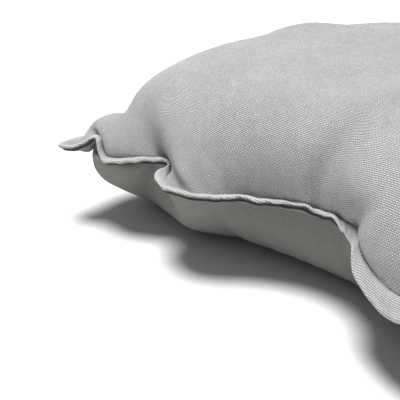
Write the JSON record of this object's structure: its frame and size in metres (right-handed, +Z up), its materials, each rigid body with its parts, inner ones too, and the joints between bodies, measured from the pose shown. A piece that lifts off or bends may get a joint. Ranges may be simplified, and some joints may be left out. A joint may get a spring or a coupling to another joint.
{
  "type": "kneeling pad",
  "caption": "Rectangular stuffed canvas kneeling pad with a crimped, topstitched edge flange and a coil zip in the far long seam.",
  "frame": {"origin": "middle of the resting face, at the height of the ground", "axes": "+X along the long side, +Y to the long side with the zip, +Z up"},
  "size_m": [0.43, 0.28, 0.09],
  "materials": {
    "canvas_upper": "matte",
    "canvas_lower": "matte",
    "sewing_thread": "matte",
    "lining": "matte",
    "wadding": "matte",
    "foam": "matte",
    "zip_tape": "matte",
    "zip_coil": "satin",
    "zip_metal": "satin"
  },
  "bodies": {
    "pad": {"upper_cover": "canvas_upper", "lower_cover": "canvas_lower", "flange_needle_thread": "sewing_thread", "flange_bobbin_thread": "sewing_thread", "liner_upper": "lining", "liner_lower": "lining", "liner_seam_thread": "sewing_thread", "wadding_upper": "wadding", "wadding_lower": "wadding", "foam_core": "foam", "zip_tape_upper": "zip_tape", "zip_tape_lower": "zip_tape", "zip_coil_upper": "zip_coil", "zip_coil_lower": "zip_coil", "zip_thread_upper": "sewing_thread", "zip_thread_lower": "sewing_thread", "zip_top_stops": "zip_metal", "zip_bottom_stop": "zip_metal"},
    "slider": {"zip_slider": "zip_metal"},
    "pull": {"zip_pull": "zip_metal"}
  },
  "joints": [
    {"name": "zip_slider_slide", "type": "slide", "parent": "pad", "child": "slider", "axis": [-1, 0, 0], "range_m": [0, 0.268]},
    {"name": "zip_pull_swing", "type": "hinge", "parent": "slider", "child": "pull", "pos_m": [0.134, 0.1352, 0.038], "axis": [0, 0, -1], "range_deg": [0, 170]}
  ]
}
